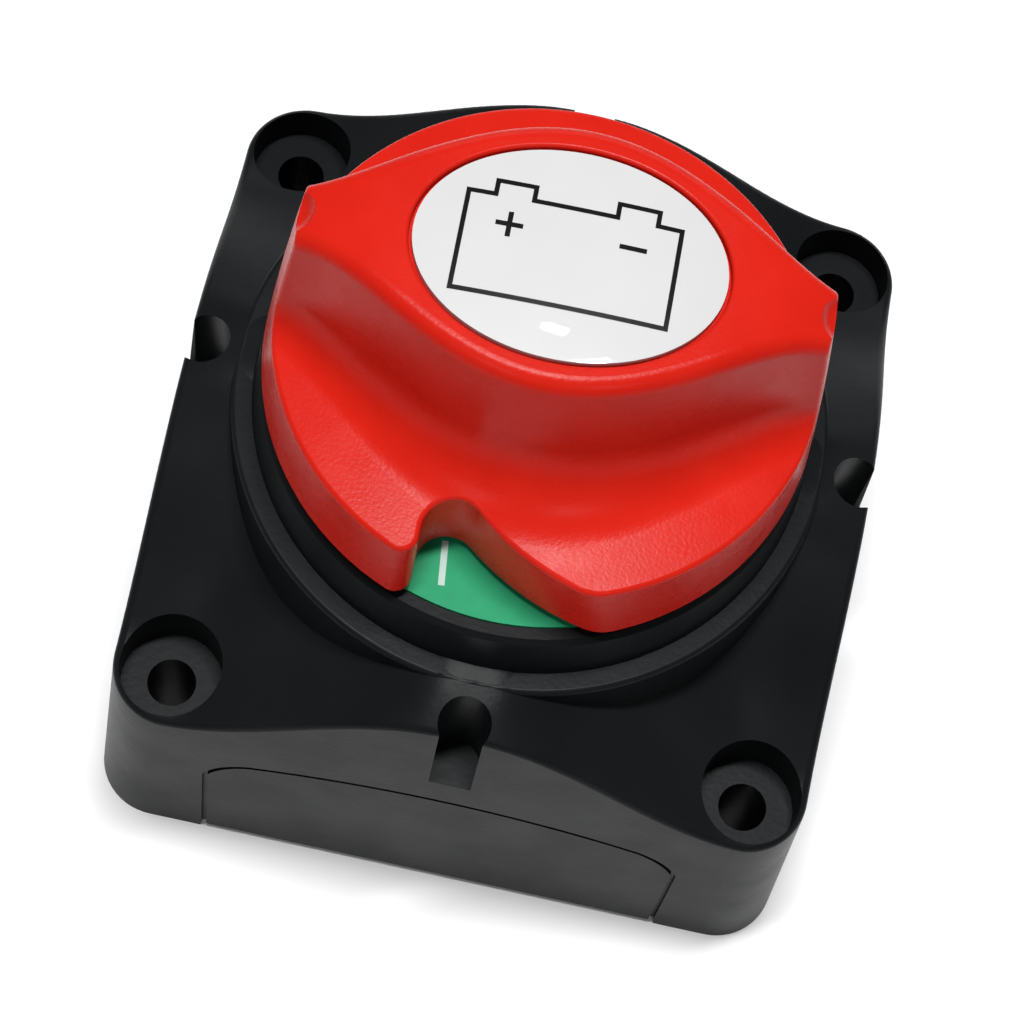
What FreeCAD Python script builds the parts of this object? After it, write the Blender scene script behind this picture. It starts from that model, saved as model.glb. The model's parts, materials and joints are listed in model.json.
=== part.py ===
"""Surface-mount rotary battery switch, built as a parametric assembly in millimetres.

The origin is the centre of the mounting (back) face, +Z runs along the knob's axis towards the
knob, and the grip bar of the knob lies along X in the rest (on) position.
"""
import FreeCAD, Part
import Sketcher
import math
import os
import re

Vector = FreeCAD.Vector
UP = Vector(0, 0, 1)
X_AXIS = Vector(1, 0, 0)
SIDES = [0, 90, 180, 270]
CORNERS = [(1, 1), (-1, 1), (-1, -1), (1, -1)]
LEFT_AND_RIGHT = [("left", -1), ("right", 1)]

# Driving dimensions: alias, value, what it is.
SIZES = [
    ("body_width", 69.0, "side of the square base"),
    ("body_corner", 5.95, "corner radius of the base"),
    ("body_draft", 3.2, "draft of the walls in degrees"),
    ("body_blank", 45.0, "height of the blank the roof is cut from"),
    ("wall_thickness", 2.5, "outer wall"),
    ("roof_high", 39.8, "roof height at the middle of each side"),
    ("roof_low", 27.2, "roof height at the corners"),
    ("roof_flat", 1.95, "half width of the level strip at each side's middle"),
    ("roof_fade", 28.4, "distance from the middle where the roof is lowest"),
    ("roof_rise", 1.1, "rise of the roof from the edge to the ring, at the middle of each side"),
    ("roof_rim", 32.3, "distance from the middle where that rise starts"),
    ("roof_climb", 6.0, "distance over which that rise levels out"),
    ("roof_edge", 0.8, "rounding of the roof's outer edge"),
    ("ring_height", 41.0, "top of the raised ring"),
    ("ring_radius", 27.7, "outer radius of the ring's top"),
    ("ring_foot", 28.1, "outer radius of the ring at its root"),
    ("ring_edge", 0.5, "rounding of the ring's edge"),
    ("tower_foot", 25.75, "radius of the tower where it leaves the ring"),
    ("tower_radius", 25.1, "radius of the tower's top"),
    ("tower_height", 47.2, "top of the tower"),
    ("tower_edge", 0.45, "bevel of the tower's top edge"),
    ("hole_offset", 27.55, "corner hole from each centre line"),
    ("hole_radius", 2.3, "corner screw hole"),
    ("counterbore_radius", 4.8, "corner counterbore"),
    ("counterbore_floor", 22.6, "height of the counterbore's floor"),
    ("corner_post", 6.4, "radius of the post around each corner hole"),
    ("slot_radius", 2.4, "round part of the link slot"),
    ("slot_offset", 30.9, "slot centre from the middle"),
    ("slot_floor", 27.2, "height of the slot's floor"),
    ("slot_mouth", 3.95, "width of the slot's mouth in the wall"),
    ("panel_half", 23.3, "half width of the cable panel"),
    ("panel_side", 15.7, "height where the panel's corner arc starts"),
    ("panel_shoulder", 20.0, "height of the panel's top at its shoulders"),
    ("panel_shoulder_x", 18.8, "half width between the panel's shoulders"),
    ("panel_bend_x", 21.4, "half width of the panel at the middle of its corner arc"),
    ("panel_bend", 18.2, "height of the middle of the panel's corner arc"),
    ("panel_crown", 22.5, "height of the panel's top in the middle"),
    ("score_half", 22.95, "half width between the score line's sides"),
    ("score_width", 0.5, "width of the score line"),
    ("score_depth", 0.4, "depth of the score line"),
    ("panel_lift", 0.8, "gap under the cable panel"),
    ("cavity_height", 24.5, "height of the terminal cavity"),
    ("chamber_radius", 24.0, "contact chamber"),
    ("chamber_height", 36.0, "ceiling of the contact chamber"),
    ("bore_radius", 6.1, "spindle bore in the tower"),
    ("base_radius", 30.0, "terminal base plate"),
    ("base_bottom", 19.7, "underside of the terminal base plate"),
    ("base_top", 23.7, "upper face of the terminal base plate"),
    ("base_edge", 0.8, "edge rounding of plate, carrier and screw heads"),
    ("gasket_inner", 24.6, "inner radius of the base gasket"),
    ("base_screw_radius", 1.25, "shank of the base screws"),
    ("base_screw_head", 1.8, "height of the base screws' heads"),
    ("base_slot", 0.6, "width of the slot in those heads"),
    ("screw_clearance", 0.1, "play round the base screws in the plate and the gasket"),
    ("screw_tip_gap", 0.5, "depth left under the base screws' tips"),
    ("base_screw_taper", 1.2, "length of the base screws' points"),
    ("base_screw_tip", 0.3, "radius of the tip of those points"),
    ("base_screw_offset", 19.2, "base screw from each centre line"),
    ("base_screw_top", 31.0, "tip of the base screws"),
    ("stud_offset", 16.0, "terminal stud from the middle"),
    ("stud_radius", 5.0, "M10 terminal stud"),
    ("stud_bottom", 2.2, "free end of the studs"),
    ("stud_head", 13.0, "side of the square contact head"),
    ("stud_head_top", 26.0, "upper face of the contact head"),
    ("stud_clearance", 0.05, "radial gap between stud and base"),
    ("tip_radius", 3.5, "contact tips"),
    ("tip_height", 0.5, "thickness of a contact tip"),
    ("stud_chamfer", 0.8, "chamfer at the stud's end"),
    ("flat_washer_radius", 10.0, "M10 flat washer"),
    ("flat_washer_height", 2.0, "M10 flat washer thickness"),
    ("lock_washer_radius", 8.4, "M10 lock washer"),
    ("lock_washer_height", 2.4, "M10 lock washer thickness"),
    ("split_width", 0.8, "gap of the split lock washer"),
    ("split_slant", 20.0, "slant of that gap in degrees"),
    ("nut_bevel_inset", 0.2, "inset of the bevelled face from the flats"),
    ("nut_bevel", 0.9, "height of the bevel on the nut's corners"),
    ("nut_across_flats", 16.0, "M10 nut"),
    ("nut_height", 8.0, "M10 nut height"),
    ("stud_hole_gap", 0.25, "radial gap between stud and its washers"),
    ("bridge_length", 44.0, "moving contact bar"),
    ("bridge_width", 12.0, "moving contact bar width"),
    ("bridge_height", 2.5, "moving contact bar thickness"),
    ("bridge_corner", 2.0, "corner rounding of the moving contact bar"),
    ("carrier_radius", 22.5, "contact carrier"),
    ("carrier_bottom", 28.0, "underside of the contact carrier"),
    ("carrier_top", 35.0, "upper face of the contact carrier"),
    ("bridge_play", 0.1, "play beside the bridge bar in the carrier"),
    ("bridge_end_play", 0.6, "play at the ends of the bridge bar"),
    ("spring_play", 0.4, "play round the contact spring"),
    ("window_half", 8.0, "half width of the carrier's lightening pockets"),
    ("window_inner", 11.0, "inner side of the lightening pockets"),
    ("window_outer", 18.0, "outer side of the lightening pockets"),
    ("carrier_pocket", 31.2, "ceiling of the carrier's spring pocket"),
    ("spring_pocket_top", 34.0, "top of the spring pocket"),
    ("spring_radius", 6.6, "mean coil radius of the contact spring"),
    ("spring_wire", 0.45, "wire radius of the contact spring"),
    ("spindle_radius", 6.0, "spindle journal"),
    ("close_play", 0.02, "play of close fits"),
    ("running_play", 0.05, "play of running fits"),
    ("hole_play", 0.15, "play of clearance holes"),
    ("pivot_play", 0.4, "depth left under the spindle's pivot"),
    ("washer_play", 0.1, "end play of the thrust washer"),
    ("spindle_flat", 5.0, "spindle's flats for the carrier, from its axis"),
    ("carrier_flat_half", 3.0, "half width of the carrier's flats"),
    ("spindle_square", 8.0, "drive square across flats"),
    ("spindle_pivot", 3.5, "radius of the spindle's lower pivot"),
    ("spindle_pivot_bottom", 21.6, "lower end of the pivot"),
    ("spindle_shoulder", 47.5, "top of the journal, foot of the drive square"),
    ("spindle_top", 59.0, "top of the drive square"),
    ("groove_floor", 4.7, "radius at the bottom of the seal groove"),
    ("groove_bottom", 40.6, "lower side of the seal groove"),
    ("groove_height", 1.8, "height of the seal groove"),
    ("seal_wire", 0.66, "section radius of the seal"),
    ("thrust_radius", 10.0, "thrust washer"),
    ("rest_turn", 1.2, "turn of the moving parts in the rest position, in degrees"),
    ("label_outer", 23.6, "indicator label outer radius"),
    ("label_inner", 8.2, "indicator label inner radius"),
    ("label_height", 0.3, "indicator label thickness"),
    ("label_on_middle", 257.0, "direction of the middle of the green sector"),
    ("knob_bottom", 48.4, "lower edge of the knob's skirt"),
    ("knob_radius", 25.0, "skirt radius at its lower edge"),
    ("knob_top_radius", 22.1, "knob radius at the top of the blank"),
    ("knob_bulge", 0.2, "bulge of the knob's side halfway up the blank"),
    ("knob_blank_top", 74.0, "top of the knob blank"),
    ("knob_land", 72.7, "height of the grip's top land"),
    ("land_flat", 12.5, "half length of the level part of the land"),
    ("land_fall", 27.0, "radius the land's ends fall away with"),
    ("land_reach", 25.5, "half length of the land's profile"),
    ("grip_middle", 12.0, "half width of the grip's land in the middle"),
    ("grip_end", 2.7, "half width of the grip's land at its ends"),
    ("grip_swell", 1.5, "exponent of the curve of the land's long edges"),
    ("grip_half_length", 22.3, "half length of the grip"),
    ("scoop_lean_middle", 0.18, "outward lean of the grip's side, middle"),
    ("scoop_lean_end", 0.07, "outward lean of the grip's side, ends"),
    ("scoop_rim", 56.8, "height of the skirt's rim in front of the grip"),
    ("scoop_rim_back", 53.0, "height of the skirt's rim behind the grip"),
    ("scoop_slope", 0.1, "rise of the scoop's floor towards the grip"),
    ("scoop_cove_middle", 7.5, "radius between floor and side, middle"),
    ("scoop_cove_end", 4.0, "radius between floor and side, ends"),
    ("rim_radius", 24.2, "radius of the skirt's rim"),
    ("land_edge", 1.5, "rounding of the land's long edges"),
    ("rim_edge", 0.45, "rounding of the knob's thin edges"),
    ("notch_left", -7.75, "left side of the viewing notch"),
    ("notch_crown_x", -5.0, "centre of the notch's crown, x"),
    ("notch_crown_y", -19.85, "centre of the notch's crown, y"),
    ("notch_crown_radius", 2.75, "radius of the notch's crown"),
    ("notch_sweep_x", 12.65, "centre of the notch's long flank, x"),
    ("notch_sweep_y", 1.0, "centre of the notch's long flank, y"),
    ("notch_lip", 1.5, "rounding of the notch's left lip"),
    ("notch_flare", 4.0, "rounding where the notch's long flank meets the skirt"),
    ("bottom_edge", 0.4, "rounding of the skirt's lower edge"),
    ("dimple_radius", 2.4, "index dimple at each end of the grip"),
    ("dimple_x", 23.65, "dimple centre from the middle"),
    ("dimple_z", 71.8, "dimple centre height"),
    ("oval_long", 13.15, "knob label half length"),
    ("oval_short", 9.5, "knob label half width"),
    ("oval_gap", 0.3, "gap round the knob label"),
    ("oval_bottom", 71.9, "floor of the label recess"),
    ("oval_side", 0.7, "height of the label's straight side"),
    ("oval_dome", 0.6, "rise of the label's dome"),
    ("recess_edge", 0.3, "rounding of the recess's edge"),
    ("socket_gap", 0.05, "gap round the drive square"),
    ("socket_top", 59.3, "ceiling of the drive socket"),
    ("knob_hub", 8.5, "radius of the knob's hub"),
    ("core_radius", 12.5, "outer radius of the core round the hub"),
    ("core_top", 54.3, "ceiling of the core round the hub"),
    ("grip_core_height", 67.5, "ceiling of the cores in the grip"),
    ("grip_core_start", 9.5, "grip core, inner end"),
    ("grip_core_end", 18.5, "grip core, outer end"),
    ("grip_core_width", 5.0, "grip core width"),
    ("screw_radius", 2.5, "M5 knob screw"),
    ("screw_point", 0.7, "chamfer at the knob screw's tip"),
    ("screw_head_round", 1.2, "shoulder of the knob screw's head"),
    ("screw_bottom", 47.8, "tip of the knob screw"),
    ("screw_head_radius", 4.6, "knob screw's head"),
    ("screw_head_bottom", 68.2, "underside of the knob screw's head"),
    ("screw_head_height", 3.0, "height of the knob screw's head"),
    ("cross_reach", 2.6, "half length of the knob screw's cross recess"),
    ("cross_width", 0.9, "width of the cross recess"),
    ("cross_depth", 1.6, "depth of the cross recess"),
    ("knob_washer_radius", 5.6, "washer under the knob screw"),
    ("knob_washer_height", 1.0, "washer thickness"),
    ("well_radius", 6.2, "well for screw and washer"),
]

doc = FreeCAD.newDocument("battery_switch")
sheet = doc.addObject("Spreadsheet::Sheet", "Sizes")
for row, (alias, value, note) in enumerate(SIZES, start=1):
    sheet.set(f"A{row}", alias)
    sheet.set(f"B{row}", str(value))
    sheet.set(f"C{row}", note)
    sheet.setAlias(f"B{row}", alias)
doc.recompute()

ALIAS_WORD = re.compile(r"\b(" + "|".join(alias for alias, _, _ in SIZES) + r")\b")
nodes = []


# ---------------------------------------------------------------- helpers

def size(text):
    """Value of an expression written with the sheet's aliases."""
    return float(sheet.evalExpression(str(text)))


def bind(thing, target, text):
    """Bind a property or constraint of an object to an expression in the sheet's aliases."""
    thing.setExpression(target, ALIAS_WORD.sub(r"Sizes.\1", str(text)))


def place(thing, x="0", y="0", z="0"):
    """Bind the position of an object."""
    for letter, text in (("x", x), ("y", y), ("z", z)):
        if str(text) != "0":
            bind(thing, f"Placement.Base.{letter}", text)
    return thing


def turn(thing, degrees, axis=UP):
    """Turn an object about an axis through its own origin."""
    thing.Placement = FreeCAD.Placement(thing.Placement.Base, FreeCAD.Rotation(axis, degrees))
    return thing


def cylinder(name, radius, bottom, top, x="0", y="0"):
    made = doc.addObject("Part::Cylinder", name)
    bind(made, "Radius", radius)
    bind(made, "Height", f"({top}) - ({bottom})")
    return place(made, x, y, bottom)


def block(name, low, high):
    """Box between two corners, each given as three expressions."""
    made = doc.addObject("Part::Box", name)
    for side, start, end in zip(("Length", "Width", "Height"), low, high):
        bind(made, side, f"({end}) - ({start})")
    return place(made, *low)


def fuse(name, pieces):
    made = doc.addObject("Part::MultiFuse", name)
    made.Shapes = pieces
    made.Refine = True
    return made


def cut(name, base, pieces):
    """Base minus one or more tools."""
    made = doc.addObject("Part::Cut", name)
    made.Base = base
    made.Tool = pieces[0] if len(pieces) == 1 else fuse(f"{name}_tools", pieces)
    doc.recompute()
    return made


def common(name, base, tool):
    made = doc.addObject("Part::Common", name)
    made.Base = base
    made.Tool = tool
    doc.recompute()
    return made


def gather(name, pieces):
    """Several separate solids kept as one sub-part."""
    made = doc.addObject("Part::Compound", name)
    made.Links = pieces
    doc.recompute()
    return made


def round_edges(name, base, *choices):
    """Round edges of an object; each choice is a radius and the test that picks its edges."""
    doc.recompute()
    made = doc.addObject("Part::Fillet", name)
    made.Base = base
    picked = {}
    for radius, wanted in choices:
        found = [index for index, edge in enumerate(base.Shape.Edges, start=1) if wanted(edge)]
        if not found:
            raise ValueError(f"{name}: no edge picked for {radius}")
        for index in found:
            picked.setdefault(index, size(radius))
    made.Edges = [(index, rounding, rounding) for index, rounding in picked.items()]
    doc.recompute()
    return made


def finish(thing, label):
    """Mark an object as a finished sub-part and give it its label."""
    thing.Label = label
    nodes.append(thing)
    return thing


def new_body(name):
    return doc.addObject("PartDesign::Body", name)


def sketch_on(body, name, role, lift=None):
    """Sketch on one of the body's own origin planes, lifted along its normal if asked."""
    made = body.newObject("Sketcher::SketchObject", name)
    plane = next(item for item in body.Origin.OriginFeatures if item.Role == role)
    made.AttachmentSupport = [(plane, "")]
    made.MapMode = "FlatFace"
    if lift is not None:
        bind(made, "AttachmentOffset.Base.z", lift)
    return made


def pin_point(sketch, geometry, point, x, y):
    """Fix a point of a sketch at two expressions."""
    for kind, axis, text in (("DistanceX", -2, x), ("DistanceY", -1, y)):
        value = size(text)
        if abs(value) < 1e-9:
            sketch.addConstraint(Sketcher.Constraint("PointOnObject", geometry, point, axis))
            continue
        index = sketch.addConstraint(Sketcher.Constraint(kind, -1, 1, geometry, point, value))
        bind(sketch, f"Constraints[{index}]", text)


def draw_outline(sketch, corners):
    """Closed outline of straight edges through corners given as pairs of expressions."""
    spots = [Vector(size(x), size(y), 0) for x, y in corners]
    ends = spots[1:] + spots[:1]
    lines = [sketch.addGeometry(Part.LineSegment(a, b), False) for a, b in zip(spots, ends)]
    for line, after in zip(lines, lines[1:] + lines[:1]):
        sketch.addConstraint(Sketcher.Constraint("Coincident", line, 2, after, 1))
    for line, (x, y) in zip(lines, corners):
        pin_point(sketch, line, 1, x, y)
    return lines


def draw_circle(sketch, radius, x="0", y="0"):
    centre = Vector(size(x), size(y), 0)
    circle = sketch.addGeometry(Part.Circle(centre, UP, size(radius)), False)
    pin_point(sketch, circle, 3, x, y)
    index = sketch.addConstraint(Sketcher.Constraint("Radius", circle, size(radius)))
    bind(sketch, f"Constraints[{index}]", radius)


def pad(body, sketch, length, taper=None, midplane=False):
    made = body.newObject("PartDesign::Pad", f"{body.Name}_pad")
    made.Profile = sketch
    bind(made, "Length", length)
    if taper is not None:
        bind(made, "TaperAngle", taper)
    made.Midplane = midplane
    body.Tip = made
    doc.recompute()
    return made


def dress(body, kind, edges, dimension, text):
    """Fillet or chamfer the picked edges of a body's tip."""
    tip = body.Tip
    made = body.newObject(f"PartDesign::{kind}", f"{body.Name}_{kind.lower()}")
    made.Base = (tip, edges)
    bind(made, dimension, text)
    body.Tip = made
    doc.recompute()
    return made


def edge_names(shape, wanted):
    return [f"Edge{index}" for index, edge in enumerate(shape.Edges, start=1) if wanted(edge)]


def is_upright(edge):
    """True for an edge that climbs more than it spreads."""
    box = edge.BoundBox
    return box.ZLength > 5 * max(box.XLength, box.YLength)


def is_level(edge, height, tolerance=1e-3):
    box = edge.BoundBox
    return abs(box.ZMin - height) < tolerance and abs(box.ZMax - height) < tolerance


def is_sharp(shape, edge, least=18):
    """True for an edge whose two faces meet at more than the least angle in degrees."""
    faces = shape.ancestorsOfType(edge, Part.Face)
    if len(faces) != 2:
        return False
    middle = edge.valueAt((edge.FirstParameter + edge.LastParameter) / 2)
    normals = [face.normalAt(*face.Surface.parameter(middle)) for face in faces]
    return normals[0].getAngle(normals[1]) > math.radians(least)


def turned(name, corners):
    """Solid turned about Z from (radius, height) corners."""
    body = new_body(name)
    sketch = sketch_on(body, f"{name}_section", "XZ_Plane")
    draw_outline(sketch, corners)
    made = body.newObject("PartDesign::Revolution", f"{name}_turn")
    made.Profile = sketch
    made.ReferenceAxis = (sketch, ["V_Axis"])
    made.Angle = 360
    body.Tip = made
    doc.recompute()
    return body


def washer(name, outer, inner, bottom, height, x="0"):
    """Flat ring standing on a given height."""
    body = new_body(name)
    sketch = sketch_on(body, f"{name}_ring", "XY_Plane")
    draw_circle(sketch, outer)
    draw_circle(sketch, inner)
    pad(body, sketch, height)
    return place(body, x, "0", bottom)


# ---------------------------------------------------------------- housing

def drafted_square(name, width, corner, height):
    """Square block with rounded corners whose walls lean in with the draft angle."""
    body = new_body(name)
    sketch = sketch_on(body, f"{name}_plan", "XY_Plane")
    half = f"({width}) / 2"
    draw_outline(sketch, [(f"{a} * {half}", f"{b} * {half}") for a, b in CORNERS])
    pad(body, sketch, height, taper="-body_draft")
    dress(body, "Fillet", edge_names(body.Shape, is_upright), "Radius", corner)
    return body


def roof_height(x, y):
    """Roof over the housing: high at the middle of each side, falling to the four corners."""
    def fall(distance):
        way = (abs(distance) - size("roof_flat")) / size("roof_fade - roof_flat")
        return (1 - math.cos(math.pi * min(max(way, 0.0), 1.0))) / 2

    def climb(radius):
        return math.tanh((size("roof_rim") - radius) / size("roof_climb"))
    corner = fall(x) * fall(y)
    rise = size("roof_rise") * climb(math.hypot(x, y)) / climb(size("ring_radius"))
    sharpness = 8
    return size("roof_high") - size("roof_high - roof_low") * corner + rise * (1 - corner) ** sharpness


def roof_trim():
    """Everything above the roof, as a solid to cut away."""
    reach, spans, headroom = size("body_width / 2 + 3.5"), 24, 20.0
    ticks = [reach * (2 * step / spans - 1) for step in range(spans + 1)]
    surface = Part.BSplineSurface()
    surface.interpolate([[Vector(x, y, roof_height(x, y)) for y in ticks] for x in ticks])
    made = doc.addObject("Part::Feature", "roof_trim")
    made.Shape = surface.toShape().extrude(UP * headroom)
    return made


def tower():
    """Ring and round tower that carry the knob."""
    body = turned("tower", [
        ("0", "cavity_height"), ("ring_foot", "cavity_height"), ("ring_radius", "ring_height"),
        ("tower_foot", "ring_height"), ("tower_radius", "tower_height"), ("0", "tower_height")])
    ring_edge = edge_names(body.Shape, lambda edge: is_level(edge, size("ring_height"))
                           and edge.BoundBox.XLength > 2 * size("ring_radius") - 0.1)
    dress(body, "Fillet", ring_edge, "Radius", "ring_edge")
    top_edge = edge_names(body.Shape, lambda edge: is_level(edge, size("tower_height"))
                          and edge.BoundBox.XLength > size("tower_radius"))
    dress(body, "Chamfer", top_edge, "Size", "tower_edge")
    return body


def link_slots():
    """Channels at the middle of each side, round inside and open to the wall."""
    tools = []
    for side in SIDES:
        round_end = cylinder(f"slot_round_{side}", "slot_radius", "slot_floor", "body_blank",
                             "slot_offset")
        mouth = block(f"slot_mouth_{side}", ("slot_offset", "-slot_mouth / 2", "slot_floor"),
                      ("slot_offset + slot_radius + 4", "slot_mouth / 2", "body_blank"))
        channel = fuse(f"slot_{side}", [round_end, mouth])
        doc.recompute()
        tools.append(turn(channel, side))
    return tools


def corner_holes():
    """Through hole and counterbore at each corner."""
    tools = []
    for number, (a, b) in enumerate(CORNERS, start=1):
        x, y = f"{a} * hole_offset", f"{b} * hole_offset"
        tools.append(cylinder(f"corner_hole_{number}", "hole_radius", "-1", "body_blank", x, y))
        tools.append(cylinder(f"counterbore_{number}", "counterbore_radius", "counterbore_floor",
                              "body_blank", x, y))
    return tools


def hollow():
    """Terminal cavity, contact chamber and spindle bore, less the posts of the corner holes."""
    cavity = drafted_square("cavity", "body_width - 2 * wall_thickness",
                            "body_corner - wall_thickness", "cavity_height")
    posts = [cylinder(f"corner_post_{number}", "corner_post", "-1", "cavity_height + 1",
                      f"{a} * hole_offset", f"{b} * hole_offset")
             for number, (a, b) in enumerate(CORNERS, start=1)]
    open_cavity = cut("open_cavity", cavity, posts)
    chamber = turned("chamber", [
        ("0", "cavity_height - 1"), ("chamber_radius", "cavity_height - 1"),
        ("chamber_radius", "chamber_height"), ("bore_radius", "chamber_height"),
        ("bore_radius", "tower_height + 1"), ("0", "tower_height + 1")])
    return [open_cavity, chamber]


def panel_plate(name, grow, foot):
    """Arched plate as wide as the score line's middle plus grow, across the wall's surface."""
    body = new_body(name)
    sketch = sketch_on(body, f"{name}_outline", "XZ_Plane")
    half, crown = size(f"score_half + {grow}"), size(f"panel_crown + {grow}")
    start = Vector(half, size("panel_side"), 0)
    aside = f"{grow} / sqrt(2)"
    bend = Vector(size(f"panel_bend_x + {aside}"), size(f"panel_bend + {aside}"), 0)
    shoulder = Vector(size("panel_shoulder_x"), size(f"panel_shoulder + {grow}"), 0)
    low = Vector(half, foot, 0)

    def mirrored(spot):
        return Vector(-spot.x, spot.y, 0)
    pieces = [
        Part.LineSegment(low, start),
        Part.Arc(start, bend, shoulder),
        Part.Arc(shoulder, Vector(0, crown, 0), mirrored(shoulder)),
        Part.Arc(mirrored(shoulder), mirrored(bend), mirrored(start)),
        Part.LineSegment(mirrored(start), mirrored(low)),
        Part.LineSegment(mirrored(low), low),
    ]
    for piece in pieces:
        drawn = sketch.addGeometry(piece, False)
        sketch.addConstraint(Sketcher.Constraint("Block", drawn))
    pad(body, sketch, "2 * score_depth", midplane=True)
    return body


def score_lines():
    """Score line round the cable panel of each wall, and the gap under the panel."""
    outer_foot, inner_foot = -2, -4
    tools = []
    for side in SIDES:
        outer = panel_plate(f"score_outer_{side}", "score_width / 2", outer_foot)
        inner = panel_plate(f"score_inner_{side}", "-score_width / 2", inner_foot)
        line = cut(f"score_line_{side}", outer, [inner])
        spin = FreeCAD.Rotation(UP, side)
        lean = FreeCAD.Rotation(X_AXIS, -size("body_draft"))
        wall = spin.multVec(Vector(0, -size("body_width / 2"), 0))
        line.Placement = FreeCAD.Placement(wall, spin.multiply(lean))
        gap = block(f"panel_gap_{side}", ("-panel_half", "-body_width / 2 - 1", "-1"),
                    ("panel_half", "wall_thickness - body_width / 2 + 1", "panel_lift"))
        tools += [line, turn(gather(f"panel_gap_turned_{side}", [gap]), side)]
    return tools


def make_housing():
    shell = cut("vaulted", drafted_square("housing_block", "body_width", "body_corner",
                                          "body_blank"), [roof_trim()])

    def on_roof_edge(edge):
        middle = edge.valueAt((edge.FirstParameter + edge.LastParameter) / 2)
        return abs(middle.z - roof_height(middle.x, middle.y)) < 0.2 and middle.z > 1
    rounded = round_edges("rounded_shell", shell, ("roof_edge", on_roof_edge))
    solid = fuse("shell_and_tower", [rounded, tower()])
    tools = link_slots() + corner_holes() + hollow() + score_lines() + base_screw_holes()
    return finish(cut("housing_cut", solid, tools), "housing")


# ---------------------------------------------------------------- terminal base

def base_screw_spots():
    return [(f"{a} * base_screw_offset", f"{b} * base_screw_offset") for a, b in CORNERS]


def base_screw_holes():
    return [cylinder(f"base_screw_hole_{number}", "base_screw_radius", "base_top - 1",
                     "base_screw_top + screw_tip_gap", x, y)
            for number, (x, y) in enumerate(base_screw_spots(), start=1)]


def make_terminal_base():
    """Round plate that closes the contact chamber, holds the studs and pivots the spindle."""
    plate = cylinder("base_plate", "base_radius", "base_bottom", "base_top")
    pivot = cylinder("base_pivot_hole", "spindle_pivot + stud_clearance",
                     "spindle_pivot_bottom - pivot_play", "base_top + 1")
    tools = [pivot]
    for name, sign in LEFT_AND_RIGHT:
        x = f"{sign} * stud_offset"
        tools.append(cylinder(f"stud_hole_{name}", "stud_radius + stud_clearance",
                              "base_bottom - 1", "base_top + 1", x))
    for number, (x, y) in enumerate(base_screw_spots(), start=1):
        tools.append(cylinder(f"base_clearance_{number}", "base_screw_radius + screw_clearance",
                              "base_bottom - 1", "base_top + 1", x, y))
    rounded = round_edges("base_rounded", plate,
                          ("base_edge", lambda edge: is_level(edge, size("base_bottom"))))
    return finish(cut("terminal_base_cut", rounded, tools), "terminal_base")


def make_base_gasket():
    ring = washer("gasket_ring", "base_radius", "gasket_inner", "base_top",
                  "cavity_height - base_top")
    holes = [cylinder(f"gasket_hole_{number}", "base_screw_radius + screw_clearance", "base_top - 1",
                      "cavity_height + 1", x, y)
             for number, (x, y) in enumerate(base_screw_spots(), start=1)]
    return finish(cut("gasket_cut", ring, holes), "base_gasket")


def make_base_screws():
    """Four pan-head screws, heads under the base plate."""
    def is_head_rim(edge):
        return is_level(edge, size("base_bottom - base_screw_head"))
    screws = []
    for number, (x, y) in enumerate(base_screw_spots(), start=1):
        screw = turned(f"base_screw_{number}", [
            ("0", "base_bottom - base_screw_head"),
            ("2 * base_screw_radius", "base_bottom - base_screw_head"),
            ("2 * base_screw_radius", "base_bottom"), ("base_screw_radius", "base_bottom"),
            ("base_screw_radius", "base_screw_top - base_screw_taper"),
            ("base_screw_tip", "base_screw_top"),
            ("0", "base_screw_top")])
        edges = edge_names(screw.Shape, is_head_rim)
        dress(screw, "Fillet", edges[:1], "Radius", "base_edge")
        recess = block(f"base_screw_slot_{number}",
                       (f"{x} - 2 * base_screw_radius", f"{y} - base_slot / 2",
                        "base_bottom - base_screw_head - 0.2"),
                       (f"{x} + 2 * base_screw_radius", f"{y} + base_slot / 2",
                        "base_bottom - base_screw_head / 2"))
        screws.append(cut(f"base_screw_cut_{number}", place(screw, x, y), [recess]))
    return finish(gather("base_screw_set", screws), "base_screws")


# ---------------------------------------------------------------- terminals

def make_stud(name, sign):
    """Terminal stud with a square contact head; the stud points to the back."""
    x = f"{sign} * stud_offset"
    shank = turned(f"stud_{name}_shank", [
        ("0", "stud_bottom"), ("stud_radius - stud_chamfer", "stud_bottom"),
        ("stud_radius", "stud_bottom + stud_chamfer"), ("stud_radius", "base_top"), ("0", "base_top")])
    place(shank, x)
    half = "stud_head / 2"
    head = block(f"stud_{name}_head", (f"{x} - {half}", f"-{half}", "base_top"),
                 (f"{x} + {half}", half, "stud_head_top"))
    return finish(fuse(f"stud_{name}", [shank, head]), f"terminal_stud_{name}")


def make_tips(label, bottom):
    """Pair of silver contact tips standing on a given height."""
    tips = [cylinder(f"{label}_{name}", "tip_radius", bottom, f"{bottom} + tip_height",
                     f"{sign} * stud_offset") for name, sign in LEFT_AND_RIGHT]
    return finish(gather(f"{label}_pair", tips), label)


def make_flat_washers():
    rings = [washer(f"flat_washer_{name}", "flat_washer_radius", "stud_radius + stud_hole_gap",
                    "base_bottom - flat_washer_height", "flat_washer_height",
                    f"{sign} * stud_offset") for name, sign in LEFT_AND_RIGHT]
    return finish(gather("flat_washer_pair", rings), "stud_flat_washers")


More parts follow.
